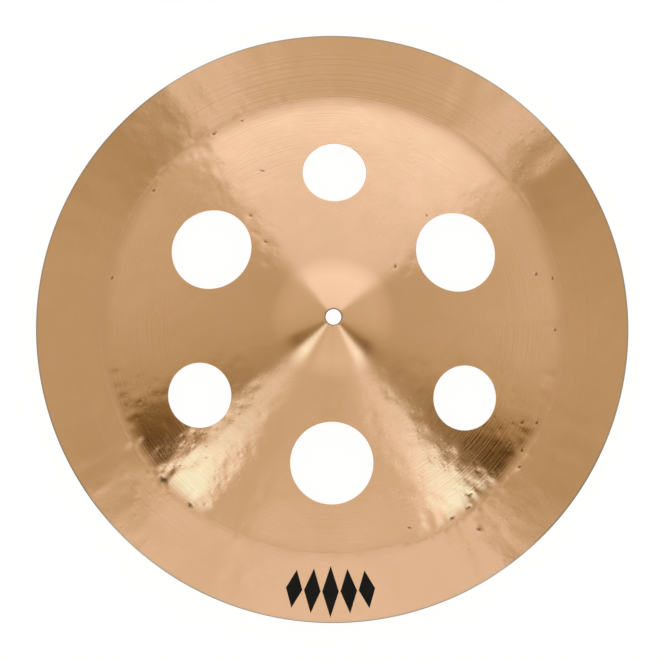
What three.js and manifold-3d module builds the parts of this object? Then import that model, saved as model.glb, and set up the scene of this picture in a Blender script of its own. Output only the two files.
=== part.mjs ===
// A trash china cymbal: one sheet of turned and hammered bronze. A low bell sits on a bow that falls away
// from it, a crease ends the bow, and an upturned flange runs from the crease to the edge. A stand hole
// pierces the bell, and six round holes of two sizes pierce the bow.
//
// Millimetres and degrees, +Z up, bell up. The origin is on the axis, at the height of the flat ring under
// the crease, which the cymbal lies on.

import * as THREE from "three";
import { mergeVertices } from "three/addons/utils/BufferGeometryUtils.js";
import Module from "manifold-3d";

// Radii from the axis, and widths measured outward
const EDGE_RADIUS = 228.6;
const FLANGE_WIDTH = 51.6;
const BELL_RADIUS = 44.5;
const STAND_HOLE_RADIUS = 6;
const SEAT_WIDTH = 4.5;

// How far each stretch rises
const BELL_RISE = 9.3;
const BOW_RISE = 25.8;
const FLANGE_RISE = 10.5;

// Thickness of the sheet, even over the bell and thinner toward the edge
const BELL_THICKNESS = 1.25;
const CREASE_THICKNESS = 1;
const EDGE_THICKNESS = 0.85;

// The flat ring under the crease, and how far each bend reaches to either side of its corner
const REST_RING_WIDTH = 1.2;
const SEAT_BLEND = 2;
const BELL_FOOT_BLEND = 5;
const CREASE_BLEND = 1.6;
const STAND_HOLE_BEVEL = 0.25;

// How much steeper than its chord each stretch is at its outer end, and flatter at its inner end
const BELL_CURVE_SHARE = 0.3;
const BOW_CURVE_SHARE = 0.35;
const FLANGE_CURVE_SHARE = 0.1;

// The six round holes, large and small in turn, each cut square to the sheet
const LARGE_HOLE_RADIUS = 31.6;
const LARGE_HOLE_RING_RADIUS = 109.4;
const SMALL_HOLE_RADIUS = 24.8;
const SMALL_HOLE_RING_RADIUS = 117.2;
const HOLES_OF_EACH_SIZE = 3;
const FIRST_LARGE_HOLE_ANGLE = 30;
const CUTTER_OVERRUN = 4;

// How finely the round faces are divided
const TURN_SEGMENTS = 72;
const HOLE_SEGMENTS = 36;
const BELL_STEPS = 3;
const BOW_STEPS = 4;
const FLANGE_STEPS = 2;
const RIM_STEPS = 4;

const CREASE_RADIUS = EDGE_RADIUS - FLANGE_WIDTH;
const BELL_FOOT_HEIGHT = CREASE_THICKNESS + BOW_RISE;
const BELL_TOP_HEIGHT = BELL_FOOT_HEIGHT + BELL_RISE;
const EDGE_HEIGHT = CREASE_THICKNESS + FLANGE_RISE;

const BRONZE = { color: 0xc99a6b, metalness: 1, roughness: 0.28 };

const wasm = await Module();
wasm.setup();

// The corners of the upper face, from the stand hole out. The curve and the steps are those of the stretch
// that starts at the corner.
const CORNERS = [
  {
    radius: STAND_HOLE_RADIUS,
    height: BELL_TOP_HEIGHT,
    thickness: BELL_THICKNESS,
    blend: 0,
    curve: 0,
    steps: 1,
  },
  {
    radius: STAND_HOLE_RADIUS + SEAT_WIDTH,
    height: BELL_TOP_HEIGHT,
    thickness: BELL_THICKNESS,
    blend: SEAT_BLEND,
    curve: BELL_CURVE_SHARE,
    steps: BELL_STEPS,
  },
  {
    radius: BELL_RADIUS,
    height: BELL_FOOT_HEIGHT,
    thickness: BELL_THICKNESS,
    blend: BELL_FOOT_BLEND,
    curve: BOW_CURVE_SHARE,
    steps: BOW_STEPS,
  },
  {
    radius: CREASE_RADIUS - REST_RING_WIDTH / 2 - CREASE_BLEND,
    height: CREASE_THICKNESS,
    thickness: CREASE_THICKNESS,
    blend: CREASE_BLEND,
    curve: 0,
    steps: 1,
  },
  {
    radius: CREASE_RADIUS + REST_RING_WIDTH / 2 + CREASE_BLEND,
    height: CREASE_THICKNESS,
    thickness: CREASE_THICKNESS,
    blend: CREASE_BLEND,
    curve: FLANGE_CURVE_SHARE,
    steps: FLANGE_STEPS,
  },
  {
    radius: EDGE_RADIUS,
    height: EDGE_HEIGHT,
    thickness: EDGE_THICKNESS,
    blend: 0,
    curve: 0,
    steps: 0,
  },
];

// Height, slope and thickness of the stretch between two corners. Its height follows a parabola whose slope
// grows outward by the curve share.
function onStretch(from, to, radius) {
  const along = (radius - from.radius) / (to.radius - from.radius);
  const rise = to.height - from.height;
  const chordSlope = rise / (to.radius - from.radius);
  return {
    height: from.height + rise * along * (1 - from.curve * (1 - along)),
    slope: chordSlope * (1 - from.curve * (1 - 2 * along)),
    thickness: from.thickness + (to.thickness - from.thickness) * along,
  };
}

// The stretch that a radius falls in.
function stretchAt(radius) {
  let next = 1;
  while (next < CORNERS.length - 1 && radius > CORNERS[next].radius) {
    next += 1;
  }
  return onStretch(CORNERS[next - 1], CORNERS[next], radius);
}

// The upper face at a radius, with each corner rounded by a quadratic curve over its blend.
function upperFace(radius) {
  const face = stretchAt(radius);
  const bent = CORNERS.findIndex((corner) => Math.abs(radius - corner.radius) < corner.blend);
  if (bent < 0) {
    return face;
  }
  const corner = CORNERS[bent];
  const inner = onStretch(CORNERS[bent - 1], corner, corner.radius - corner.blend).height;
  const outer = onStretch(corner, CORNERS[bent + 1], corner.radius + corner.blend).height;
  const along = (radius - corner.radius + corner.blend) / (2 * corner.blend);
  const first = THREE.MathUtils.lerp(inner, corner.height, along);
  const second = THREE.MathUtils.lerp(corner.height, outer, along);
  face.height = THREE.MathUtils.lerp(first, second, along);
  face.slope = (second - first) / corner.blend;
  return face;
}

function upperPoint(radius) {
  return new THREE.Vector2(radius, upperFace(radius).height);
}

// The lower face runs the thickness below the upper one, measured square to the sheet.
function lowerPoint(radius) {
  const face = upperFace(radius);
  return new THREE.Vector2(radius, face.height - face.thickness * Math.hypot(1, face.slope));
}

// Radii of the rings of points from the stand hole's bevel out to the rounded rim. Each bend has a ring at
// either end and one in the middle.
function ringRadii() {
  const radii = [];
  for (let i = 1; i < CORNERS.length; i++) {
    const from = CORNERS[i - 1];
    const to = CORNERS[i];
    const start = from.radius + (from.blend || STAND_HOLE_BEVEL);
    const end = to.radius - (to.blend || EDGE_THICKNESS / 2);
    for (let step = 0; step <= from.steps; step++) {
      radii.push(THREE.MathUtils.lerp(start, end, step / from.steps));
    }
    if (to.blend > 0) {
      radii.push(to.radius);
    }
  }
  return radii;
}

// The rounded rim, from the lower face to the upper one.
function rimPoints(lower, upper) {
  const centre = lower.clone().add(upper).divideScalar(2);
  const halfHeight = upper.distanceTo(lower) / 2;
  const points = [];
  for (let step = 1; step < RIM_STEPS; step++) {
    const angle = Math.PI * (step / RIM_STEPS - 1 / 2);
    const outward = (EDGE_THICKNESS / 2) * Math.cos(angle);
    points.push(new THREE.Vector2(centre.x + outward, centre.y + halfHeight * Math.sin(angle)));
  }
  return points;
}

// The closed section of the sheet: down the stand hole's wall, out along the lower face, round the rim and
// back along the upper face.
function section() {
  const radii = ringRadii();
  const lower = radii.map(lowerPoint);
  const upper = radii.map(upperPoint);
  const wallTop = new THREE.Vector2(STAND_HOLE_RADIUS, upper[0].y - STAND_HOLE_BEVEL);
  const wallBottom = new THREE.Vector2(STAND_HOLE_RADIUS, lower[0].y + STAND_HOLE_BEVEL);
  const rim = rimPoints(lower.at(-1), upper.at(-1));
  return [wallTop, wallBottom, ...lower, ...rim, ...upper.reverse(), wallTop.clone()];
}

// A closed mesh as a solid that can be cut.
function solidOf(geometry) {
  const bare = geometry.clone();
  bare.deleteAttribute("normal");
  bare.deleteAttribute("uv");
  const merged = mergeVertices(bare);
  const mesh = new wasm.Mesh({
    numProp: 3,
    vertProperties: merged.getAttribute("position").array,
    triVerts: new Uint32Array(merged.index.array),
  });
  return new wasm.Manifold(mesh);
}

// A solid as a geometry with flat facets.
function geometryOf(solid) {
  const mesh = solid.getMesh();
  const positions = new Float32Array(mesh.numVert * 3);
  for (let i = 0; i < mesh.numVert; i++) {
    positions.set(mesh.vertProperties.subarray(i * mesh.numProp, i * mesh.numProp + 3), i * 3);
  }
  const shared = new THREE.BufferGeometry();
  shared.setAttribute("position", new THREE.BufferAttribute(positions, 3));
  shared.setIndex(new THREE.BufferAttribute(mesh.triVerts, 1));
  const geometry = shared.toNonIndexed();
  geometry.computeVertexNormals();
  return geometry;
}

// The turned sheet before its holes are cut.
function turnedSheet() {
  const geometry = new THREE.LatheGeometry(section(), TURN_SEGMENTS);
  geometry.rotateX(Math.PI / 2);
  return solidOf(geometry);
}

// A cylinder through the sheet and square to it, at an angle round the axis.
function holeCutter(holeRadius, ringRadius, degrees) {
  const face = upperFace(ringRadius);
  const length = 2 * (face.thickness + CUTTER_OVERRUN);
  const geometry = new THREE.CylinderGeometry(holeRadius, holeRadius, length, HOLE_SEGMENTS);
  geometry.rotateX(Math.PI / 2);
  geometry.rotateY(-Math.atan(face.slope));
  geometry.translate(ringRadius, 0, face.height);
  geometry.rotateZ(THREE.MathUtils.degToRad(degrees));
  return solidOf(geometry);
}

// The turned sheet with its holes, each small one halfway between two large ones.
function piercedSheet() {
  const pitch = 360 / HOLES_OF_EACH_SIZE;
  let solid = turnedSheet();
  for (let i = 0; i < HOLES_OF_EACH_SIZE; i++) {
    const angle = FIRST_LARGE_HOLE_ANGLE + i * pitch;
    solid = solid.subtract(holeCutter(LARGE_HOLE_RADIUS, LARGE_HOLE_RING_RADIUS, angle));
    solid = solid.subtract(holeCutter(SMALL_HOLE_RADIUS, SMALL_HOLE_RING_RADIUS, angle + pitch / 2));
  }
  return solid;
}

const part = new THREE.Group();
const sheet = new THREE.Mesh(geometryOf(piercedSheet()), new THREE.MeshStandardMaterial(BRONZE));
sheet.name = "cymbal";
part.add(sheet);

export default part;
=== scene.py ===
import math
import random

import bpy
import numpy as np
from mathutils import Euler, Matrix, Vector


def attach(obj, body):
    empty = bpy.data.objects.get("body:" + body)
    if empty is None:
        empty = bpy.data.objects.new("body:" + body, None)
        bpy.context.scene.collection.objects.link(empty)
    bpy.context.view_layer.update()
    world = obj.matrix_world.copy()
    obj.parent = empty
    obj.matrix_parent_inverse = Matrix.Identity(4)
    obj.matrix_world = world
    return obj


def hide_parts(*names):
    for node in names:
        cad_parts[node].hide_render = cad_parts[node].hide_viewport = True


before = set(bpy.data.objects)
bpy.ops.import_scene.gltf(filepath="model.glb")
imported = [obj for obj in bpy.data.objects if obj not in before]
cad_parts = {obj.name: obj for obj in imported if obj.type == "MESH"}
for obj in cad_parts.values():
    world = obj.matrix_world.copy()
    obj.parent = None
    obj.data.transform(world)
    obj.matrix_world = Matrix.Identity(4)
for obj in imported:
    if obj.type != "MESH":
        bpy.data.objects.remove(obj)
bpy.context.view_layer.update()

# The picture model of a china cymbal: the hammered and turned bronze sheet, the print on its flange, and the
# studio and camera of the photograph. Sizes are in millimetres until a mesh is made, and azimuths in degrees
# from +X toward +Y.

MM = 0.001

# The sheet, as in the CAD model
EDGE_RADIUS = 228.6
CREASE_RADIUS = 177.0
STAND_HOLE_RADIUS = 6.0
BELL_TOP_HEIGHT = 36.1
CREASE_HEIGHT = 1.0
EDGE_HEIGHT = 11.5
BELL_THICKNESS = 1.25
CREASE_THICKNESS = 1.0
EDGE_THICKNESS = 0.85

# The two kinds of hole, which alternate: radius, radius of the ring of centres, and azimuth of the first
HOLES = [(31.6, 109.4, 30.0), (24.8, 117.2, 90.0)]
HOLE_COUNT = 6
HOLE_PITCH = 360 // HOLE_COUNT

# The bends, and how far each reaches to either side of its corner. The two at the crease leave a narrow flat
# ring between them. All differ a little from the CAD model's.
SEAT_RADIUS = 7.4
SEAT_BLEND = 0.8
BELL_FOOT_RADIUS = 41.0
BELL_FOOT_HEIGHT = 27.25
BELL_FOOT_BLEND = 9.0
REST_RING_WIDTH = 0.02
CREASE_BLEND = 0.02

# Where the bow flattens before the crease, and the flange steepens after it
BOW_EASE = (171.0, 2.31)
FLANGE_EASE = (183.0, 1.74)
FLANGE_EASE_THICKNESS = 0.98
EASE_BLEND = 4.0

CHAMFER = 0.15
STAND_HOLE_CHAMFER = 0.5

# The gap between the floor and the lowest vertex
FLOOR_GAP = 0.02

# Each corner: radius, height of the upper face, thickness, blend, and the curve share of the stretch after it
CORNERS = [
    (STAND_HOLE_RADIUS, BELL_TOP_HEIGHT, BELL_THICKNESS, 0.0, 0.0),
    (SEAT_RADIUS, BELL_TOP_HEIGHT, BELL_THICKNESS, SEAT_BLEND, 0.14),
    (BELL_FOOT_RADIUS, BELL_FOOT_HEIGHT, BELL_THICKNESS, BELL_FOOT_BLEND, 0.33),
    (*BOW_EASE, CREASE_THICKNESS, EASE_BLEND, 0.0),
    (CREASE_RADIUS - REST_RING_WIDTH / 2 - CREASE_BLEND, CREASE_HEIGHT, CREASE_THICKNESS, CREASE_BLEND, 0.0),
    (CREASE_RADIUS + REST_RING_WIDTH / 2 + CREASE_BLEND, CREASE_HEIGHT, CREASE_THICKNESS, CREASE_BLEND, 0.0),
    (*FLANGE_EASE, FLANGE_EASE_THICKNESS, EASE_BLEND, 0.09),
    (EDGE_RADIUS, EDGE_HEIGHT, EDGE_THICKNESS, 0.0, 0.0),
]

# Everywhere but at the front the sheet rolls over into the crease: radii and the slope of the upper face
# there, and the azimuths between which the roll fades out and comes back
ROLL = [
    (168.0, -0.252), (171.6, -0.247), (175.0, -0.19), (178.0, -0.10), (179.6, -0.01), (181.6, 0.14),
    (184.5, 0.195), (190.0, 0.213), (200.0, 0.21),
]
ROLL_STEPS = 500
ROLL_FADES_OUT = (236.0, 250.0)
ROLL_COMES_BACK = (284.0, 296.0)

# The print on the flange
INK_RADIUS = 205.5
INK_AZIMUTH = 270.0
LOZENGES_EACH_SIDE = 2
INK_PITCH = 13.8
INK_WIDTH = 12.6
INK_HEIGHT = 38.0
INK_TAPER = 0.13
INK_CELLS = 18
INK_FILM = 0.04

# Plan of the mesh: rings inside the hole zone, a patch round each hole, and rings outside it
ZONE_INNER = 66.0
ZONE_OUTER = 152.0
INNER_CELLS = 44
OUTER_CELLS = 98
SIDE_CELLS = 50
PATCH_RINGS = {"upper": 18, "lower": 5}
RIM_STEPS = 5
SLIDE_STEPS = 12
FOLD_ANGLE = 20


def ramp_share(value, start, end):
    """Zero up to the start, one from the end on, and rising evenly between them."""
    return np.clip((value - start) / (end - start), 0, 1)


def eased_share(value, start, end):
    """The same, rising softly."""
    f = ramp_share(value, start, end)
    return f * f * (3 - 2 * f)


def stretch(i, r):
    """Height, slope and thickness of the stretch after corner i, whose slope grows by its curve share."""
    r0, h0, t0, _, curve = CORNERS[i]
    r1, h1, t1, _, _ = CORNERS[i + 1]
    u = (r - r0) / (r1 - r0)
    height = h0 + (h1 - h0) * u * (1 - curve * (1 - u))
    slope = (h1 - h0) / (r1 - r0) * (1 - curve * (1 - 2 * u))
    return height, slope, t0 + (t1 - t0) * u


def upper_face(r):
    """Height, slope and thickness of the smooth sheet at an array of radii."""
    r = np.asarray(r, float)
    height, slope, thick = (np.zeros_like(r) for _ in range(3))
    for i in range(len(CORNERS) - 1):
        part = (r >= CORNERS[i][0]) if i else np.ones_like(r, bool)
        h, s, t = stretch(i, r)
        height, slope, thick = (np.where(part, a, b) for a, b in ((h, height), (s, slope), (t, thick)))
    for i in range(1, len(CORNERS) - 1):
        rc, hc, _, blend, _ = CORNERS[i]
        inner = stretch(i - 1, rc - blend)[0]
        outer = stretch(i, rc + blend)[0]
        along = (r - rc + blend) / (2 * blend)
        first = inner + (hc - inner) * along
        second = hc + (outer - hc) * along
        part = np.abs(r - rc) < blend
        height = np.where(part, first + (second - first) * along, height)
        slope = np.where(part, (second - first) / blend, slope)
    return height, slope, thick


def roll_share(a):
    """One where the crease is rolled, and zero at the front, where it is a sharp fold."""
    turn = np.degrees(a) % 360
    return 1 - eased_share(turn, *ROLL_FADES_OUT) + eased_share(turn, *ROLL_COMES_BACK)


def roll(r, a):
    """How far the rolled bend lies above the plain crease, at arrays of radii and azimuths."""
    start, end = ROLL[0][0], ROLL[-1][0]
    steps = np.linspace(start, end, ROLL_STEPS)
    slopes = np.interp(steps, *zip(*ROLL))
    height = np.concatenate([[0], np.cumsum((slopes[1:] + slopes[:-1]) / 2 * np.diff(steps))])
    first, last = upper_face([start, end])[0]
    height += first + (last - first - height[-1]) * (steps - start) / (end - start)
    above = np.where((r > start) & (r < end), np.interp(r, steps, height) - upper_face(r)[0], 0)
    return above * roll_share(a)


def face_height(side, r):
    """Height of one face of the smooth sheet, whose thickness is measured square to it."""
    height, slope, thick = upper_face(r)
    return height if side == "upper" else height - thick * np.hypot(1, slope)


# Mesh


class Sheet:
    """Collects vertices in millimetres and quads."""

    def __init__(self):
        self.points = []
        self.quads = []
        self.count = 0

    def add(self, x, y, z):
        """Adds vertices and returns their numbers."""
        block = np.stack([np.asarray(v, float).ravel() for v in (x, y, z)], 1)
        self.points.append(block)
        start = self.count
        self.count += len(block)
        return np.arange(start, self.count).reshape(np.shape(x))

    def ring(self, r, z, cells):
        """A ring of vertices at one radius and height."""
        a = np.arange(cells) * (2 * math.pi / cells)
        return self.add(r * np.cos(a), r * np.sin(a), np.full(cells, z))

    def strip(self, a, b, up):
        """Quads between two closed loops of vertices."""
        a2, b2 = np.roll(a, -1), np.roll(b, -1)
        quad = np.stack([a, b, b2, a2], 1)
        self.quads.append(quad if up else quad[:, ::-1])

    def grid(self, rows, up):
        """Quads between each loop and the next."""
        for a, b in zip(rows[:-1], rows[1:]):
            self.strip(a, b, up)


def spaced(stops):
    """Radii from stops of (radius, spacing up to the next stop)."""
    radii = []
    for (a, gap), (b, _) in zip(stops[:-1], stops[1:]):
        steps = max(1, round((b - a) / gap))
        radii += list(np.linspace(a, b, steps + 1)[:-1])
    return np.array(radii + [stops[-1][0]])


FACE_START = STAND_HOLE_RADIUS + STAND_HOLE_CHAMFER
RIM_START = EDGE_RADIUS - EDGE_THICKNESS / 2
INNER_RADII = {
    "upper": spaced([(FACE_START, 0.6), (12.5, 1.6), (30, 1.3), (51, 1.6), (ZONE_INNER, 1)]),
    "lower": spaced([(FACE_START, 1.1), (12.5, 4.5), (30, 3.0), (51, 5.0), (ZONE_INNER, 1)]),
}
OUTER_RADII = {
    "upper": spaced([
        (ZONE_OUTER, 1.75), (167, 1.3), (175.9, 0.36), (178.1, 1.3), (187, 2.4), (RIM_START, 1),
    ]),
    "lower": spaced([
        (ZONE_OUTER, 4.3), (167, 2.2), (175.9, 0.9), (176.8, 0.4), (177.2, 0.9), (178.1, 2.2), (187, 8),
        (RIM_START, 1),
    ]),
}


def hole_frame(i):
    """The centre, radial and tangential directions and normal of hole i, on the upper face."""
    _, ring_radius, first = HOLES[i % 2]
    a = math.radians(first + 2 * HOLE_PITCH * (i // 2))
    height, slope, _ = upper_face(ring_radius)
    outward = np.array([math.cos(a), math.sin(a), 0.0])
    tangent = np.array([-math.sin(a), math.cos(a), 0.0])
    along = outward + np.array([0, 0, float(slope)])
    along /= np.linalg.norm(along)
    centre = outward * ring_radius + np.array([0, 0, float(height)])
    return centre, along, tangent, np.cross(along, tangent)


def on_face(side, start, normal):
    """Slides points along a normal onto one face of the sheet."""
    p = start.copy()
    for _ in range(SLIDE_STEPS):
        gap = face_height(side, np.hypot(p[:, 0], p[:, 1])) - p[:, 2]
        p += gap[:, None] * normal
    return p


def hole_circle(side, i, bearing, beyond):
    """Points of one face round hole i, at bearings round its centre and this far beyond its radius."""
    centre, along, tangent, normal = hole_frame(i)
    spokes = np.cos(bearing)[:, None] * along + np.sin(bearing)[:, None] * tangent
    return on_face(side, centre + spokes * (HOLES[i % 2][0] + beyond), normal)


def patch_border(i, inner_ring, outer_ring, sides):
    """Vertex numbers round patch i, counter-clockwise from its inner corner at the larger angle."""
    a, b = i * INNER_CELLS, (i + 1) * INNER_CELLS
    inner = np.take(inner_ring, np.arange(b, a, -1), mode="wrap")
    a, b = i * OUTER_CELLS, (i + 1) * OUTER_CELLS
    outer = np.take(outer_ring, np.arange(a, b), mode="wrap")
    low, high = sides[i], sides[(i + 1) % HOLE_COUNT]
    start_of_low = np.take(inner_ring, [i * INNER_CELLS], mode="wrap")
    start_of_high = np.take(outer_ring, [(i + 1) * OUTER_CELLS], mode="wrap")
    return np.concatenate([inner, start_of_low, low, outer, start_of_high, high[::-1]])


def hole_patches(sheet, side, inner_ring, outer_ring):
    """Fills the hole zone, and returns the loop of vertices round each hole with their bearings."""
    sides = []
    for i in range(HOLE_COUNT):
        r = np.linspace(ZONE_INNER, ZONE_OUTER, SIDE_CELLS + 1)[1:-1]
        a = math.radians(HOLE_PITCH * i)
        sides.append(sheet.add(r * math.cos(a), r * math.sin(a), face_height(side, r)))
    loops = []
    for i in range(HOLE_COUNT):
        centre, along, tangent, _ = hole_frame(i)
        border = patch_border(i, inner_ring, outer_ring, sides)
        places = np.concatenate(sheet.points)[border]
        offset = places - centre
        bearing = np.arctan2(offset @ tangent, offset @ along)
        start = hole_circle(side, i, bearing, CHAMFER)
        loop = sheet.add(*start.T)
        rows = [loop]
        steps = PATCH_RINGS[side]
        for j in range(1, steps):
            x, y = (start + (places - start) * (j / steps))[:, :2].T
            rows.append(sheet.add(x, y, face_height(side, np.hypot(x, y))))
        rows.append(border)
        sheet.grid(rows, side == "lower")
        loops.append((loop, bearing))
    return loops


def one_side(sheet, side):
    """Adds one face, and returns its first and last ring and the loops round its holes."""
    inner = [sheet.ring(r, face_height(side, r), HOLE_COUNT * INNER_CELLS) for r in INNER_RADII[side]]
    outer = [sheet.ring(r, face_height(side, r), HOLE_COUNT * OUTER_CELLS) for r in OUTER_RADII[side]]
    sheet.grid(inner, side == "upper")
    sheet.grid(outer, side == "upper")
    loops = hole_patches(sheet, side, inner[-1], outer[0])
    return inner[0], outer[-1], loops


def wall_loop(sheet, i, bearing, side):
    """The ring of vertices at one end of a hole's wall, a chamfer in from the face."""
    normal = hole_frame(i)[3]
    inward = normal * (CHAMFER if side == "lower" else -CHAMFER)
    return sheet.add(*(hole_circle(side, i, bearing, 0) + inward).T)


def rim(sheet, upper, lower):
    """Rounds the edge between the outermost rings of the two faces."""
    top = float(face_height("upper", RIM_START))
    bottom = float(face_height("lower", RIM_START))
    rows = [upper]
    for step in range(1, RIM_STEPS):
        t = math.pi * (0.5 - step / RIM_STEPS)
        r = RIM_START + EDGE_THICKNESS / 2 * math.cos(t)
        z = (top + bottom) / 2 + (top - bottom) / 2 * math.sin(t)
        rows.append(sheet.ring(r, z, HOLE_COUNT * OUTER_CELLS))
    rows.append(lower)
    sheet.grid(rows, True)


def stand_hole(sheet, upper, lower):
    """The wall of the stand hole, chamfered at both faces."""
    r = STAND_HOLE_RADIUS
    top = float(face_height("upper", r)) - STAND_HOLE_CHAMFER
    bottom = float(face_height("lower", r)) + STAND_HOLE_CHAMFER
    wall_top, wall_bottom = (sheet.ring(r, z, HOLE_COUNT * INNER_CELLS) for z in (top, bottom))
    sheet.grid([lower, wall_bottom, wall_top, upper], True)


# Hammer marks: dents in rings all over the bow and the flange, closer and deeper along the crease, the broad
# waves that the hammering leaves in the sheet, and strokes and pits at listed places

SEED = 41
FIRST_DENT_RING = 50.0
LAST_DENT_RING = 226
DENT_RING_SPACING = 6.4
DENT_PITCH = 7.5
CREASE_DENTS = 190
DENT_REACH = 3.0
PIT_DEPTH = 0.3
PIT_FLATNESS = 4
WAVES = 40
WAVE_STEEPNESS = 0.0003
WANDER = 0.8
WANDER_LIMIT = 1.1
WANDER_REACH = 9

# Radii between which the marks fade in beyond the bell, those between which they lose a share of their depth
# on the flange, and those between which its lobes fade in
BELL_FADE = (46, 68)
FLANGE_FADE = (180, 186)
FLANGE_LOSS = 0.4
LOBE_FADE = (180, 200)

# At the back right the sheet is calmer near the crease: the azimuths between which each kind of dent keeps
# only a share of its depth, and the azimuth round which the crease wanders less
CALM_RADIUS = 150
CALM_RING_DENTS = (22, 62)
CALM_RING_SHARE = 0.4
CALM_CREASE_DENTS = (25, 75)
CALM_CREASE_SHARE = 0.3
CALM_WANDER = 42
CALM_WANDER_WIDTH = 16
CALM_WANDER_LOSS = 0.75

# Strokes: radius, azimuth, size, depth, how far drawn out, and the heading of that. A negative depth is a
# bulge.
STROKES = [
    (158, 130.0, 2.4, 0.10, 1.8, 120),
    (146, 129.5, 2.6, -0.12, 2.6, 122),
    (136, 131.5, 2.4, 0.13, 2.4, 118),
    (124, 129.5, 2.2, -0.08, 1.8, 125),
    (131, 124.5, 2.0, 0.06, 1.6, 115),
    (172, 129.0, 2.0, 0.09, 1.4, 100),
    (192, 138.0, 2.6, 0.11, 2.0, 150),
    (190, 132.5, 2.4, -0.08, 1.8, 140),
    (157, 135.0, 2.2, 0.09, 1.8, 130),
    (104, 129.5, 1.9, 0.10, 1.2, 150),
    (96, 128.0, 2.0, -0.08, 2.2, 135),
    (88, 132.0, 2.0, 0.09, 2.2, 150),
    (79, 132.5, 1.8, 0.09, 1.4, 150),
    (75, 137.0, 1.9, -0.09, 2.4, 155),
    (68, 140.0, 1.8, 0.10, 2.6, 150),
    (62, 138.0, 1.8, -0.09, 2.4, 145),
    (57, 143.0, 1.8, 0.08, 2.2, 150),
    (139, 44.5, 2.6, 0.08, 2.0, 40),
    (152, 44.0, 2.4, -0.08, 2.2, 45),
    (167, 41.5, 2.2, 0.04, 1.8, 50),
    (118, 45.5, 2.2, 0.06, 2.0, 40),
    (66, 33.0, 2.0, 0.07, 2.0, 60),
    (63, 41.0, 1.8, -0.06, 1.6, 50),
    (169, 223.0, 2.0, 0.10, 1.6, 240),
    (123, 229.0, 2.0, 0.09, 2.0, 225),
    (111, 227.0, 2.0, -0.09, 2.2, 230),
    (104, 229.0, 1.9, 0.08, 1.8, 225),
    (150, 225.5, 2.0, 0.09, 1.8, 232),
    (166, 313.0, 2.2, -0.04, 1.3, 290),
    (160, 311.0, 2.0, 0.06, 1.8, 310),
    (148, 310.0, 2.2, -0.10, 2.2, 315),
    (137, 310.5, 2.0, 0.10, 2.0, 310),
    (127, 309.5, 2.0, -0.08, 2.2, 312),
    (110, 310.0, 1.9, 0.08, 2.0, 308),
    (97, 308.0, 1.9, -0.07, 2.0, 310),
]
STROKE_SIZE_SHARE = 0.75
STROKE_DEPTH_SHARE = 0.7

# Pits: the column and row of the photograph's pixel that shows each, and its reach
PITS = [
    (213, 134, 0.7), (242, 120.5, 0.6), (262, 171, 0.6), (153, 191, 0.7), (249, 215, 0.6), (265, 242, 0.7),
    (112, 278, 0.7), (427, 215, 0.7), (395, 265, 0.7), (535, 273, 0.6), (552, 278, 0.6), (555, 330, 0.6),
    (162, 479, 2.3), (190, 505, 1.6), (522, 423, 0.8), (536, 422, 0.8), (522, 450, 0.6), (518, 467, 0.8),
    (470, 494, 0.7), (468, 507, 0.8), (453, 517, 0.9), (409, 527, 0.6), (478, 529, 0.6),
]


class Marks:
    """Adds up round and drawn-out dents on the vertices near each of them."""

    def __init__(self, x, y):
        self.order = np.argsort(x)
        self.x = x[self.order]
        self.y = y[self.order]
        self.depth = np.zeros_like(x)

    def dent(self, r, a, size, deep, drawn_out, heading):
        cx, cy = r * math.cos(a), r * math.sin(a)
        reach = DENT_REACH * size * max(1.0, drawn_out)
        i, j = np.searchsorted(self.x, (cx - reach, cx + reach))
        dx, dy = self.x[i:j] - cx, self.y[i:j] - cy
        along = dx * math.cos(heading) + dy * math.sin(heading)
        across = dy * math.cos(heading) - dx * math.sin(heading)
        d2 = (along / drawn_out) ** 2 + across ** 2
        self.depth[i:j] -= deep * np.exp(-d2 / (2 * size * size))

    def total(self):
        out = np.zeros_like(self.depth)
        out[self.order] = self.depth
        return out


def ring_dents(marks, rng):
    """Rings of dents, each a little off its even place and mostly shallow."""
    ring_radius = FIRST_DENT_RING
    while ring_radius < LAST_DENT_RING:
        number = int(2 * math.pi * ring_radius / DENT_PITCH)
        phase = rng.random()
        for k in range(number):
            a = 2 * math.pi * (k + phase + rng.uniform(-0.4, 0.4)) / number
            r = ring_radius + rng.uniform(-3.5, 3.5)
            size = rng.uniform(1.7, 3.0)
            deep = 0.010 + 0.060 * rng.random() ** 2.2
            if r > CALM_RADIUS and CALM_RING_DENTS[0] < math.degrees(a) < CALM_RING_DENTS[1]:
                deep *= CALM_RING_SHARE
            drawn_out = rng.uniform(0.8, 1.5)
            marks.dent(r, a, size, deep, drawn_out, a + rng.uniform(-0.6, 0.6))
        ring_radius += DENT_RING_SPACING


def stroke_dents(marks):
    for r, degrees, size, deep, drawn_out, heading in STROKES:
        size *= STROKE_SIZE_SHARE
        deep *= STROKE_DEPTH_SHARE
        marks.dent(r, math.radians(degrees), size, deep, drawn_out, math.radians(heading))


def crease_dents(marks, rng):
    for k in range(CREASE_DENTS):
        a = 2 * math.pi * (k + rng.uniform(-0.4, 0.4)) / CREASE_DENTS
        r = CREASE_RADIUS + rng.uniform(-8, 5)
        size = rng.uniform(1.4, 2.4)
        deep = rng.uniform(0.02, 0.09)
        if CALM_CREASE_DENTS[0] < math.degrees(a) < CALM_CREASE_DENTS[1]:
            deep *= CALM_CREASE_SHARE
        marks.dent(r, a, size, deep, rng.uniform(0.9, 1.6), a)


def waves(x, y, rng):
    """Broad waves in all directions."""
    total = np.zeros_like(x)
    for _ in range(WAVES):
        length = rng.uniform(16, 62)
        heading = rng.uniform(0, 2 * math.pi)
        shift = rng.uniform(0, 2 * math.pi)
        tall = WAVE_STEEPNESS * length * rng.uniform(0.3, 1.0)
        along = x * math.cos(heading) + y * math.sin(heading)
        total += tall * np.cos(2 * math.pi / length * along + shift)
    return total


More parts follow.
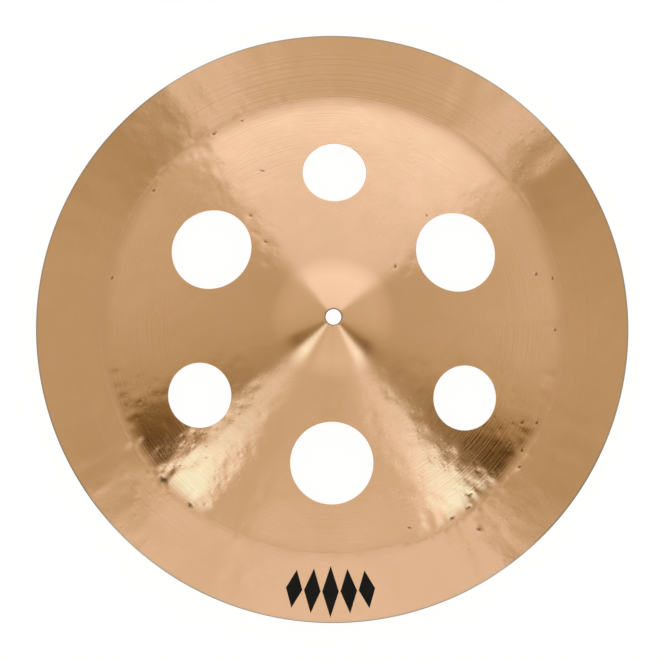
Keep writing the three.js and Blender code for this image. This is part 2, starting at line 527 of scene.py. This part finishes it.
def lobes(r, a, rng):
    """Uneven lobes round the flange, taller toward the edge."""
    total = np.zeros_like(r)
    for turns in range(12, 64, 4):
        tall = rng.uniform(0.002, 0.009)
        shift = rng.uniform(0, 2 * math.pi)
        lean = rng.uniform(-0.02, 0.02)
        total += tall * np.cos(turns * a + shift + r * lean)
    return total * ramp_share(r, *LOBE_FADE)


def crease_wander(r, a, rng):
    """How much the height changes where the rolled crease wanders off its circle."""
    wander = np.zeros_like(r)
    for turns in [*range(5, 46), *range(50, 170, 7)]:
        far = rng.uniform(-1, 1) * WANDER / math.sqrt(turns)
        shift = rng.uniform(0, 2 * math.pi)
        wander += far * np.cos(turns * a + shift)
    calm = 1 - CALM_WANDER_LOSS * np.exp(-((np.degrees(a) - CALM_WANDER) / CALM_WANDER_WIDTH) ** 2)
    wander = np.clip(wander, -WANDER_LIMIT, WANDER_LIMIT) * calm * roll_share(a)
    moved = r + wander * np.exp(-((r - CREASE_RADIUS) / WANDER_REACH) ** 2)
    return upper_face(moved)[0] + roll(moved, a) - upper_face(r)[0]


def hammer_marks(x, y):
    """How far the hammered sheet lies above the smooth one."""
    rng = random.Random(SEED)
    r, a = np.hypot(x, y), np.arctan2(y, x)
    marks = Marks(x, y)
    ring_dents(marks, rng)
    stroke_dents(marks)
    crease_dents(marks, rng)
    share = ramp_share(r, *BELL_FADE) * (1 - FLANGE_LOSS * ramp_share(r, *FLANGE_FADE))
    return (marks.total() + waves(x, y, rng)) * share + crease_wander(r, a, rng) + lobes(r, a, rng)


def sink_pits(points):
    """Sinks a pit at the vertex nearest each place, and returns how stained each vertex is."""
    stained = np.zeros(len(points))
    for column, row, reach in PITS:
        r, a = seen_at(column, row)
        gap = np.hypot(points[:, 0] - r * math.cos(a), points[:, 1] - r * math.sin(a))
        middle = points[gap.argmin(), :2]
        near = np.exp(-((np.hypot(*(points[:, :2] - middle).T) / reach) ** PIT_FLATNESS))
        points[:, 2] -= PIT_DEPTH * near
        stained = np.maximum(stained, near)
    return stained


def build_sheet():
    """Vertices in metres, quads, and how stained each vertex is."""
    sheet = Sheet()
    upper_start, upper_end, upper_loops = one_side(sheet, "upper")
    upper_count = sheet.count
    lower_start, lower_end, lower_loops = one_side(sheet, "lower")
    for i in range(HOLE_COUNT):
        upper_loop, bearing = upper_loops[i]
        lower_loop, lower_bearing = lower_loops[i]
        top = wall_loop(sheet, i, bearing, "upper")
        bottom = wall_loop(sheet, i, lower_bearing, "lower")
        sheet.grid([upper_loop, top, bottom, lower_loop], False)
    rim(sheet, upper_end, lower_end)
    stand_hole(sheet, upper_start, lower_start)
    points = np.concatenate(sheet.points)
    quads = np.concatenate(sheet.quads)
    points[:, 2] += hammer_marks(points[:, 0], points[:, 1])
    points[:, 2] = np.clip(points[:, 2], FLOOR_GAP, BELL_TOP_HEIGHT)
    stained = np.zeros(len(points))
    stained[:upper_count] = sink_pits(points[:upper_count])
    return points * MM, quads, stained


def lozenge_places(i):
    """A square array of places over lozenge i, counted from the middle one."""
    a = math.radians(INK_AZIMUTH + i * INK_PITCH / INK_RADIUS * 180 / math.pi)
    outward, side = np.array([math.cos(a), math.sin(a)]), np.array([-math.sin(a), math.cos(a)])
    tall = INK_HEIGHT * (1 - INK_TAPER * abs(i))
    first = (outward * tall + side * INK_WIDTH) / 2
    second = (outward * tall - side * INK_WIDTH) / 2
    steps = np.linspace(-0.5, 0.5, INK_CELLS + 1)
    u, v = np.meshgrid(steps, steps, indexing="ij")
    xy = outward * INK_RADIUS + u[..., None] * first + v[..., None] * second
    return xy[..., 0].ravel(), xy[..., 1].ravel()


def film_quads():
    """The quads of one closed film, whose upper vertices come first and its lower ones after them."""
    n = INK_CELLS + 1
    index = np.arange(n * n).reshape(n, n)
    quad = np.stack([index[:-1, :-1], index[:-1, 1:], index[1:, 1:], index[1:, :-1]], -1).reshape(-1, 4)
    border = np.concatenate([index[0, :-1], index[:-1, -1], index[-1, :0:-1], index[:0:-1, 0]])
    after = np.roll(border, -1)
    walls = np.stack([border, border + n * n, after + n * n, after], 1)
    return np.concatenate([quad, quad[:, ::-1] + n * n, walls])


def build_ink():
    """Plain lozenges printed on the flange, as thin closed films that follow the hammered face."""
    points, quads = [], []
    for i in range(-LOZENGES_EACH_SIDE, LOZENGES_EACH_SIDE + 1):
        x, y = lozenge_places(i)
        z = face_height("upper", np.hypot(x, y)) + hammer_marks(x, y)
        quads.append(film_quads() + sum(len(p) for p in points))
        points += [np.stack([x, y, z + INK_FILM], 1), np.stack([x, y, z - INK_FILM], 1)]
    return np.concatenate(points) * MM, np.concatenate(quads)


def mesh_object(name, points, faces, stained=None):
    mesh = bpy.data.meshes.new(name)
    mesh.from_pydata(points.tolist(), [], faces.tolist())
    mesh.update()
    if stained is not None:
        mesh.attributes.new("stain", "FLOAT", "POINT").data.foreach_set("value", stained)
    mesh.shade_smooth()
    mesh.set_sharp_from_angle(angle=math.radians(FOLD_ANGLE))
    obj = bpy.data.objects.new(name, mesh)
    bpy.context.scene.collection.objects.link(obj)
    return obj


# Nodes


def new_material(name):
    material = bpy.data.materials.new(name)
    material.use_nodes = True
    material.node_tree.nodes.clear()
    return material, material.node_tree


def show_surface(tree, shader):
    out = tree.nodes.new("ShaderNodeOutputMaterial")
    tree.links.new(shader.outputs[0], out.inputs["Surface"])


def math_node(tree, operation, *inputs):
    node = tree.nodes.new("ShaderNodeMath")
    node.operation = operation
    for socket, value in zip(node.inputs, inputs):
        if isinstance(value, (int, float)):
            socket.default_value = value
        else:
            tree.links.new(value, socket)
    return node.outputs[0]


def plus(tree, first, second):
    return math_node(tree, "ADD", first, second)


def minus(tree, first, second):
    return math_node(tree, "SUBTRACT", first, second)


def times(tree, first, second):
    return math_node(tree, "MULTIPLY", first, second)


def power(tree, base, exponent):
    return math_node(tree, "POWER", base, exponent)


def flat_distance(tree, x, y):
    """The distance from the axis."""
    return math_node(tree, "SQRT", plus(tree, power(tree, x, 2.0), power(tree, y, 2.0)))


def full_turn(tree, x, y):
    """The azimuth as a share of a full turn."""
    angle = math_node(tree, "ARCTAN2", y, x)
    return math_node(tree, "FRACT", plus(tree, math_node(tree, "DIVIDE", angle, 2 * math.pi), 1.0))


def split_vector(tree, vector):
    node = tree.nodes.new("ShaderNodeSeparateXYZ")
    tree.links.new(vector, node.inputs[0])
    return node.outputs


def noise_node(tree, dimensions, scale, detail, where):
    node = tree.nodes.new("ShaderNodeTexNoise")
    node.noise_dimensions = dimensions
    node.inputs["Scale"].default_value = scale
    node.inputs["Detail"].default_value = detail
    tree.links.new(where, node.inputs["W" if dimensions == "1D" else "Vector"])
    return node.outputs[0]


def smooth_range(tree, value, low, high, to_low=0.0, to_high=1.0):
    node = tree.nodes.new("ShaderNodeMapRange")
    node.interpolation_type = "SMOOTHSTEP"
    tree.links.new(value, node.inputs["Value"])
    for name, number in (("From Min", low), ("From Max", high), ("To Min", to_low), ("To Max", to_high)):
        node.inputs[name].default_value = number
    return node.outputs[0]


def color_mix(tree, share, first, second):
    node = tree.nodes.new("ShaderNodeMix")
    node.data_type = "RGBA"
    tree.links.new(share, node.inputs[0])
    for socket, value in ((node.inputs[6], first), (node.inputs[7], second)):
        if isinstance(value, tuple):
            socket.default_value = (*value, 1)
        else:
            tree.links.new(value, socket)
    return node.outputs[2]


def value_ramp(tree, share, stops):
    """A value that changes evenly between stops of share and value."""
    node = tree.nodes.new("ShaderNodeValToRGB")
    elements = node.color_ramp.elements
    while len(elements) > 1:
        elements.remove(elements[-1])
    for i, (position, value) in enumerate(stops):
        element = elements[0] if i == 0 else elements.new(position)
        element.position = position
        element.color = (value, value, value, 1)
    tree.links.new(share, node.inputs[0])
    return node.outputs[0]


def by_radius(tree, radius, stops):
    """A value between stops of radius and value."""
    share = math_node(tree, "DIVIDE", radius, EDGE_RADIUS)
    return value_ramp(tree, share, [(r / EDGE_RADIUS, value) for r, value in stops])


def by_azimuth(tree, turn, stops):
    """A value between stops of azimuth and value."""
    return value_ramp(tree, turn, [(degrees / 360, value) for degrees, value in stops])


def add_bump(tree, shader, height, distance):
    bump = tree.nodes.new("ShaderNodeBump")
    bump.inputs["Distance"].default_value = distance
    tree.links.new(height, bump.inputs["Height"])
    tree.links.new(bump.outputs[0], shader.inputs["Normal"])


# Bronze: how the turned lines, the small hammer marks and the roughness change with the radius

GROOVE_ZONES = [
    (0, 0.5), (38, 0.5), (50, 0.1), (116, 0.16), (130, 0.7), (150, 1.0), (171, 1.0), (176, 0.4),
    (179, 0.4), (183, 1.0), (206, 1.0), (216, 0.4), (228, 0.2),
]
HAMMER_ZONES = [
    (0, 0.0), (42, 0.0), (54, 0.7), (100, 1.0), (171, 1.0), (176, 0.25), (179, 0.2), (186, 0.5), (228, 0.5),
]
ROUGHNESS_ZONES = [
    (0, 0.17), (44, 0.18), (100, 0.17), (145, 0.14), (170, 0.15), (177, 0.22), (182, 0.17), (190, 0.15),
    (228, 0.15),
]

# How deep the turned lines are by azimuth, on the bow and on the flange: elsewhere the hammer and the polish
# have levelled them
BOW_LINES = [
    (0, 0.4), (20, 0.3), (60, 0.3), (70, 0.4), (108, 0.4), (120, 0.3), (160, 0.3), (190, 0.4),
    (202, 1.0), (219, 1.0), (224, 0.35), (240, 0.2), (290, 0.2), (298, 0.3), (309, 0.3), (314, 0.9),
    (328, 0.8), (340, 0.4), (359, 0.4),
]
FLANGE_LINES = [
    (0, 0.2), (40, 0.15), (58, 0.3), (68, 0.9), (88, 1.0), (106, 0.9), (114, 0.4), (126, 0.15),
    (195, 0.15), (215, 0.35), (240, 0.15), (290, 0.1), (340, 0.2), (359, 0.2),
]

# Phase of the turned lines in radians per millimetre, which puts them about 2.4 mm apart, how far in radians
# they waver, and how much of them is even
LINE_PHASE = 2.6
LINE_WAVER = 9.0
LINE_EVENNESS = 0.13

# How deep the lines are on the flange, which has no patches, and how a noise is drawn out round the sheet
FLANGE_PATCH = (1.15, 1.15, 1.15)
SWEPT_SCALES = (0.55, 17.0, 17.0)

# Heights of the bump are in microns
MICRON = 0.000001
GROOVE_DEPTH = 68.0

# Radii between which the painted highlight that makes the bell paler fades in
BELL_HIGHLIGHT_FADE = (50.0, 40.0)

# Colours of the bronze, of what lies on it, and of the painted shade and highlight on it
PLAIN_BRONZE = (0.78, 0.485, 0.300)
PALE_BRONZE = (0.82, 0.512, 0.322)
BELL_HIGHLIGHT_BRONZE = (0.855, 0.541, 0.341)
MOTTLED_BRONZE = (0.768, 0.488, 0.292)
BRIGHT_DASH = (0.90, 0.60, 0.41)
DULL_DASH = (0.62, 0.37, 0.215)
GROOVE_SHADE_BROWN = (0.50, 0.29, 0.16)
EDGE_BAND_BRONZE = (0.62, 0.452, 0.33)
EDGE_GREY = (0.30, 0.26, 0.19)
STAIN_AND_SHADE_BROWN = (0.10, 0.045, 0.015)


def turned_lines(tree, radius):
    """Wavering lines that the turning left, over finer uneven ones."""
    waver = times(tree, noise_node(tree, "1D", 0.11, 0.0, radius), LINE_WAVER)
    even = math_node(tree, "SINE", plus(tree, times(tree, radius, LINE_PHASE), waver))
    uneven = noise_node(tree, "1D", 0.7, 1.0, radius)
    return plus(tree, times(tree, even, LINE_EVENNESS), uneven)


def turned_grooves(tree, lines, place, radius, turn):
    """The lines as grooves, which lie in patches and are deepest inside the crease."""
    beyond = smooth_range(tree, radius, CREASE_RADIUS - 2, CREASE_RADIUS + 4)
    patches = smooth_range(tree, noise_node(tree, "3D", 22.0, 1.0, place), 0.4, 0.62, 0.15, 1.4)
    patchy = color_mix(tree, beyond, patches, FLANGE_PATCH)
    strength = times(tree, by_radius(tree, radius, GROOVE_ZONES), patchy)
    on_bow, on_flange = by_azimuth(tree, turn, BOW_LINES), by_azimuth(tree, turn, FLANGE_LINES)
    strength = times(tree, strength, color_mix(tree, beyond, on_bow, on_flange))
    return times(tree, minus(tree, lines, 0.5), strength)


def swept_places(tree, place, radius):
    """Coordinates in which a noise is drawn out round the sheet."""
    bearing = tree.nodes.new("ShaderNodeVectorMath")
    bearing.operation = "NORMALIZE"
    tree.links.new(place, bearing.inputs[0])
    x, y, _ = split_vector(tree, bearing.outputs[0])
    swept = tree.nodes.new("ShaderNodeCombineXYZ")
    for socket, value, scale in zip(swept.inputs, (radius, x, y), SWEPT_SCALES):
        tree.links.new(times(tree, value, scale), socket)
    return swept.outputs[0]


def hammer_flecks(tree, where, scale):
    """Round dents in random cells, most of them faint and a few deep."""
    node = tree.nodes.new("ShaderNodeTexVoronoi")
    node.voronoi_dimensions = "2D"
    node.inputs["Scale"].default_value = scale
    tree.links.new(where, node.inputs["Vector"])
    split = tree.nodes.new("ShaderNodeSeparateColor")
    tree.links.new(node.outputs["Color"], split.inputs[0])
    deep = power(tree, split.outputs[0], 3.0)
    return times(tree, smooth_range(tree, node.outputs["Distance"], 0.34, 0.0), deep)


def small_marks(tree, place, radius, swept):
    """The small unevenness left by the hammer under the polish, in microns."""
    streaks = smooth_range(tree, noise_node(tree, "3D", 1.0, 2.0, swept), 0.5, 0.72)
    parts = [
        (noise_node(tree, "3D", 150.0, 2.0, place), 30.0),
        (hammer_flecks(tree, place, 115.0), -34.0),
        (hammer_flecks(tree, place, 240.0), -18.0),
        (noise_node(tree, "3D", 420.0, 2.0, place), 10.0),
        (streaks, -9.0),
    ]
    marks = 0.0
    for part, height in parts:
        marks = plus(tree, marks, times(tree, part, height))
    return times(tree, marks, by_radius(tree, radius, HAMMER_ZONES))


def bronze_color(tree, place, radius, grooves, mottle, swept):
    """Bronze, unevenly toned over the sheet, painted darker along the turned lines as painted shade and paler
    on the bell as a painted highlight. It is darker and greyer toward the edge, stained dark in the pits, and
    painted dark round the stand hole as painted shade."""
    tone = noise_node(tree, "3D", 9.0, 3.0, place)
    dashes = noise_node(tree, "3D", 1.5, 1.0, swept)
    hammered = by_radius(tree, radius, HAMMER_ZONES)
    spread = times(tree, hammered, smooth_range(tree, tone, 0.42, 0.6))
    pits = tree.nodes.new("ShaderNodeAttribute")
    pits.attribute_name = "stain"
    # Painted shade: the stand hole's chamfer and a thin ring round it are painted dark, as the shade seen
    # there
    hole = smooth_range(tree, radius, STAND_HOLE_RADIUS + 0.9, STAND_HOLE_RADIUS + 0.3)
    layers = [
        # Painted shade: the turned lines are painted darker, standing in for shade in the grooves
        (smooth_range(tree, grooves, 0.0, 0.15, 0.0, 0.22), GROOVE_SHADE_BROWN),
        (smooth_range(tree, mottle, 0.38, 0.62, 0.0, 0.5), MOTTLED_BRONZE),
        (times(tree, smooth_range(tree, dashes, 0.62, 0.74, 0.0, 0.4), spread), BRIGHT_DASH),
        (times(tree, smooth_range(tree, dashes, 0.36, 0.26, 0.0, 0.22), spread), DULL_DASH),
        # Painted highlight: the bell is painted paler, standing in for its brighter reflection
        (smooth_range(tree, radius, *BELL_HIGHLIGHT_FADE), BELL_HIGHLIGHT_BRONZE),
        # Darker and greyer in a band along the edge, and greyest at the edge itself
        (smooth_range(tree, radius, EDGE_RADIUS - 1.8, EDGE_RADIUS - 0.8), EDGE_BAND_BRONZE),
        (smooth_range(tree, radius, EDGE_RADIUS - 0.7, EDGE_RADIUS - 0.3), EDGE_GREY),
        # This dark brown is a real stain in the pits and painted shade round the stand hole
        (math_node(tree, "MAXIMUM", pits.outputs["Fac"], hole), STAIN_AND_SHADE_BROWN),
    ]
    color = color_mix(tree, smooth_range(tree, tone, 0.3, 0.7), PLAIN_BRONZE, PALE_BRONZE)
    for share, layer in layers:
        color = color_mix(tree, share, color, layer)
    return color


def bronze_material():
    material, tree = new_material("bronze")
    shader = tree.nodes.new("ShaderNodeBsdfPrincipled")
    shader.inputs["Metallic"].default_value = 1
    shader.inputs["Anisotropic"].default_value = 0.85
    shader.inputs["Anisotropic Rotation"].default_value = 0.25
    tangent = tree.nodes.new("ShaderNodeTangent")
    tangent.direction_type = "RADIAL"
    tangent.axis = "Z"
    tree.links.new(tangent.outputs[0], shader.inputs["Tangent"])

    place = tree.nodes.new("ShaderNodeTexCoord").outputs["Object"]
    x, y, _ = split_vector(tree, place)
    radius = times(tree, flat_distance(tree, x, y), 1 / MM)
    lines = turned_lines(tree, radius)
    grooves = turned_grooves(tree, lines, place, radius, full_turn(tree, x, y))
    swept = swept_places(tree, place, radius)
    marks = small_marks(tree, place, radius, swept)
    add_bump(tree, shader, plus(tree, times(tree, grooves, GROOVE_DEPTH), marks), MICRON)

    mottle = noise_node(tree, "3D", 52.0, 3.0, place)
    color = bronze_color(tree, place, radius, grooves, mottle, swept)
    tree.links.new(color, shader.inputs["Base Color"])
    polish = smooth_range(tree, plus(tree, lines, mottle), 0.6, 1.4, 0.88, 1.12)
    roughness = times(tree, by_radius(tree, radius, ROUGHNESS_ZONES), polish)
    tree.links.new(roughness, shader.inputs["Roughness"])
    show_surface(tree, shader)
    return material


# Ink and floor

INK_BLACK = (0.005, 0.0045, 0.004)
WORN_INK = (0.010, 0.009, 0.008)
FLOOR_HALF_WIDTH = 6
FLOOR_PAINT = (0.86, 0.86, 0.86, 1)
FLOOR_GLOW = 1.03
FLOOR_GLOW_SHARE = 0.93
WHITE = (1, 1, 1, 1)


def ink_material():
    material, tree = new_material("ink")
    shader = tree.nodes.new("ShaderNodeBsdfPrincipled")
    shader.inputs["Specular IOR Level"].default_value = 0.12
    place = tree.nodes.new("ShaderNodeTexCoord").outputs["Object"]
    grain = noise_node(tree, "3D", 1400.0, 2.0, place)
    wear = noise_node(tree, "3D", 90.0, 3.0, place)
    color = color_mix(tree, smooth_range(tree, wear, 0.35, 0.75), INK_BLACK, WORN_INK)
    tree.links.new(color, shader.inputs["Base Color"])
    tree.links.new(smooth_range(tree, grain, 0.3, 0.7, 0.42, 0.58), shader.inputs["Roughness"])
    add_bump(tree, shader, grain, 4 * MICRON)
    show_surface(tree, shader)
    return material


def floor_material():
    """Pale paint that takes the shadow, and mostly glow where the camera or a mirror sees it."""
    material, tree = new_material("floor")
    paint = tree.nodes.new("ShaderNodeBsdfDiffuse")
    paint.inputs["Color"].default_value = FLOOR_PAINT
    glow = tree.nodes.new("ShaderNodeEmission")
    glow.inputs["Color"].default_value = WHITE
    glow.inputs["Strength"].default_value = FLOOR_GLOW
    path = tree.nodes.new("ShaderNodeLightPath")
    seen = math_node(tree, "MAXIMUM", path.outputs["Is Camera Ray"], path.outputs["Is Glossy Ray"])
    mix = tree.nodes.new("ShaderNodeMixShader")
    tree.links.new(times(tree, seen, FLOOR_GLOW_SHARE), mix.inputs[0])
    tree.links.new(paint.outputs[0], mix.inputs[1])
    tree.links.new(glow.outputs[0], mix.inputs[2])
    show_surface(tree, mix)
    return material


def build_floor():
    w = FLOOR_HALF_WIDTH
    mesh = bpy.data.meshes.new("floor")
    mesh.from_pydata([(-w, -w, 0), (w, -w, 0), (w, w, 0), (-w, w, 0)], [], [(0, 1, 2, 3)])
    mesh.materials.append(floor_material())
    obj = bpy.data.objects.new("floor", mesh)
    bpy.context.scene.collection.objects.link(obj)
    return obj


# Studio: soft panels and darker walls in sectors round the direction that the flat sheet would mirror. Each
# ring of the studio, from the core out, has its own sectors: an azimuth and the light's level there, which
# changes evenly from one to the next.

CORE = [
    (0, 0.57), (12, 0.53), (22, 0.38), (34, 0.36), (46, 0.90), (60, 0.93), (90, 0.96), (120, 1.04),
    (129, 0.40), (150, 0.38), (165, 0.52), (190, 0.56), (202, 0.42), (217, 0.34), (227, 0.98),
    (240, 0.80), (255, 0.97), (280, 0.97), (304, 1.06), (311, 0.38), (328, 0.36), (345, 0.54),
    (359, 0.57),
]
MIDDLE = [
    (0, 0.57), (14, 0.55), (24, 0.49), (38, 0.47), (47, 0.94), (56, 0.80), (63, 0.79), (72, 0.98),
    (82, 0.97), (92, 0.92), (125, 0.96), (130.5, 0.45), (141, 0.43), (148, 0.45), (160, 0.56),
    (205, 0.55), (215, 0.39), (222, 0.43), (229, 1.06), (236, 0.99), (243, 0.78), (249, 0.69),
    (266, 0.63), (282, 0.65), (289, 0.81), (302, 1.04), (307, 0.90), (312, 0.47), (319, 0.42),
    (327, 0.50), (336, 0.55), (346, 0.57),
]
INNER = [
    (0, 0.58), (33, 0.60), (42, 0.95), (54, 0.97), (66, 0.95), (120, 0.96), (127, 0.84), (137, 0.60),
    (147, 0.57), (180, 0.56), (200, 0.52), (209, 0.45), (220, 0.41), (227, 0.93), (230, 0.95),
    (236, 0.72), (241, 0.65), (263, 0.66), (269, 0.61), (275, 0.66), (283, 0.68), (291, 0.70),
    (298, 0.95), (304, 0.91), (312, 0.44), (320, 0.42), (332, 0.50), (348, 0.57),
]
OUTER = [
    (0, 0.74), (36, 0.76), (45, 1.21), (56, 1.36), (72, 1.37), (100, 1.34), (124, 1.34), (131, 0.68),
    (152, 0.73), (175, 0.68), (187, 0.61), (200, 0.54), (206, 0.05), (219.5, 0.01), (225.2, 1.88),
    (234, 1.92), (239, 0.66), (246, 0.72), (252, 0.91), (265, 0.91), (270, 0.86), (275, 0.91),
    (285, 0.87), (295, 0.78), (301.5, 1.74), (307.5, 1.93), (313.4, 0.02), (322, 0.01), (330, 0.40),
    (338, 0.56), (352, 0.70),
]

# How far to the back the mirrored direction of the flat sheet leans, and the distances from it between which
# one ring gives way to the next
MIRRORED = 0.132
MIDDLE_STARTS = (0.06, 0.19)
INNER_STARTS = (0.22, 0.31)
OUTER_STARTS = (0.37, 0.68)

# The front right panel leans outward: the shares of a turn and the distance over which it does, and how far
LEAN_RISES = (0.79, 0.82)
LEAN_FALLS = (0.94, 0.9)
LEAN_DISTANCE = (0.6, 0.645)
LEAN = 0.009

# A ramp holds no value above one, so the levels are divided by the highest one allowed
LIGHT_LEVEL = 2.0

# Near the horizon the light is even: its level, and how the studio's share grows with the direction's height
HORIZON_LEVEL = (0.26, 0.26, 0.26)
HORIZON_HEIGHTS = (0.1, 0.6)
STUDIO_SHARES = (0.1, 1.0)

# Red and blue for a level of green: powers of the level, a share of red added in the darkest walls, and the
# limit of red in the brightest lamps
RED_POWER = 0.82
BLUE_POWER_DARK = 1.57
BLUE_POWER_BRIGHT = 1.17
EMBER_POWER = 4.0
EMBER_SHARE = 0.02
RED_LIMIT = 1.22


def sector_level(tree, turn, sectors):
    return by_azimuth(tree, turn, [(degrees, level / LIGHT_LEVEL) for degrees, level in sectors])


def studio_level(tree, direction):
    """The light's level in a direction, which is even near the horizon."""
    x, y, z = split_vector(tree, direction)
    across = minus(tree, y, MIRRORED)
    turn = full_turn(tree, x, across)
    away = flat_distance(tree, x, across)
    lean = times(tree, smooth_range(tree, turn, *LEAN_RISES), smooth_range(tree, turn, *LEAN_FALLS))
    lean = times(tree, lean, smooth_range(tree, away, *LEAN_DISTANCE, 0.0, LEAN))
    rings = [
        (MIDDLE_STARTS, MIDDLE, turn),
        (INNER_STARTS, INNER, turn),
        (OUTER_STARTS, OUTER, minus(tree, turn, lean)),
    ]
    level = sector_level(tree, turn, CORE)
    for starts, sectors, where in rings:
        level = color_mix(tree, smooth_range(tree, away, *starts), level, sector_level(tree, where, sectors))
    studio_share = smooth_range(tree, z, *HORIZON_HEIGHTS, *STUDIO_SHARES)
    level = color_mix(tree, studio_share, HORIZON_LEVEL, level)
    return times(tree, level, LIGHT_LEVEL)


def studio_color(tree, level):
    """Neutral light where it is bright, and warmer the darker it is."""
    ember = power(tree, math_node(tree, "MAXIMUM", minus(tree, 1.0, level), 0.0), EMBER_POWER)
    red = math_node(tree, "MULTIPLY_ADD", ember, EMBER_SHARE, power(tree, level, RED_POWER))
    dark_blue, bright_blue = power(tree, level, BLUE_POWER_DARK), power(tree, level, BLUE_POWER_BRIGHT)
    color = tree.nodes.new("ShaderNodeCombineColor")
    tree.links.new(math_node(tree, "MINIMUM", red, RED_LIMIT), color.inputs[0])
    tree.links.new(level, color.inputs[1])
    tree.links.new(math_node(tree, "MINIMUM", dark_blue, bright_blue), color.inputs[2])
    return color.outputs[0]


def studio_world():
    """The studio for the light, and plain white for the camera."""
    world = bpy.data.worlds.new("studio")
    bpy.context.scene.world = world
    world.use_nodes = True
    tree = world.node_tree
    tree.nodes.clear()
    direction = tree.nodes.new("ShaderNodeTexCoord").outputs["Generated"]
    light = tree.nodes.new("ShaderNodeBackground")
    tree.links.new(studio_color(tree, studio_level(tree, direction)), light.inputs["Color"])
    seen = tree.nodes.new("ShaderNodeBackground")
    seen.inputs["Color"].default_value = WHITE
    path = tree.nodes.new("ShaderNodeLightPath")
    mix = tree.nodes.new("ShaderNodeMixShader")
    tree.links.new(path.outputs["Is Camera Ray"], mix.inputs[0])
    tree.links.new(light.outputs[0], mix.inputs[1])
    tree.links.new(seen.outputs[0], mix.inputs[2])
    out = tree.nodes.new("ShaderNodeOutputWorld")
    tree.links.new(mix.outputs[0], out.inputs["Surface"])


# Camera, fitted to the ellipses of the edge and the holes: its place is in metres and its turn in degrees
PHOTO_WIDTH = 665
PHOTO_HEIGHT = 660
PIXEL_MIDDLE = 0.5
SENSOR_WIDTH = 36
LENS = 73.1194
CAMERA_PLACE = (-0.012465, -0.140183, 1.044267)
CAMERA_TURN = (7.34797, -0.73834, 0.51215)


# Rounds in which the point that a pixel shows is found
SIGHT_ROUNDS = 20


def seen_at(column, row):
    """Radius and azimuth, in radians, of the smooth sheet's point that a pixel of the photograph shows."""
    pixel = SENSOR_WIDTH / PHOTO_WIDTH
    across = (column + PIXEL_MIDDLE - PHOTO_WIDTH / 2) * pixel
    upward = (PHOTO_HEIGHT / 2 - row - PIXEL_MIDDLE) * pixel
    ray = camera_turn().to_matrix() @ Vector((across, upward, -LENS))
    eye = Vector(CAMERA_PLACE) / MM
    height = 0.0
    for _ in range(SIGHT_ROUNDS):
        point = eye + ray * ((height - eye.z) / ray.z)
        r = math.hypot(point.x, point.y)
        height = upper_face([r])[0][0]
    return r, math.atan2(point.y, point.x)


def camera_turn():
    return Euler([math.radians(v) for v in CAMERA_TURN])


def camera():
    data = bpy.data.cameras.new("camera")
    data.sensor_fit = "HORIZONTAL"
    data.sensor_width = SENSOR_WIDTH
    data.lens = LENS
    obj = bpy.data.objects.new("camera", data)
    obj.location = CAMERA_PLACE
    obj.rotation_euler = camera_turn()
    bpy.context.scene.collection.objects.link(obj)
    bpy.context.scene.camera = obj


cymbal = mesh_object("cymbal_hammered", *build_sheet())
cymbal.data.materials.append(bronze_material())
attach(cymbal, "root")
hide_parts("cymbal")

ink = mesh_object("ink_mark", *build_ink())
ink.data.materials.append(ink_material())
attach(ink, "root")

floor = build_floor()

studio_world()
camera()
bpy.context.scene.view_settings.view_transform = "Standard"
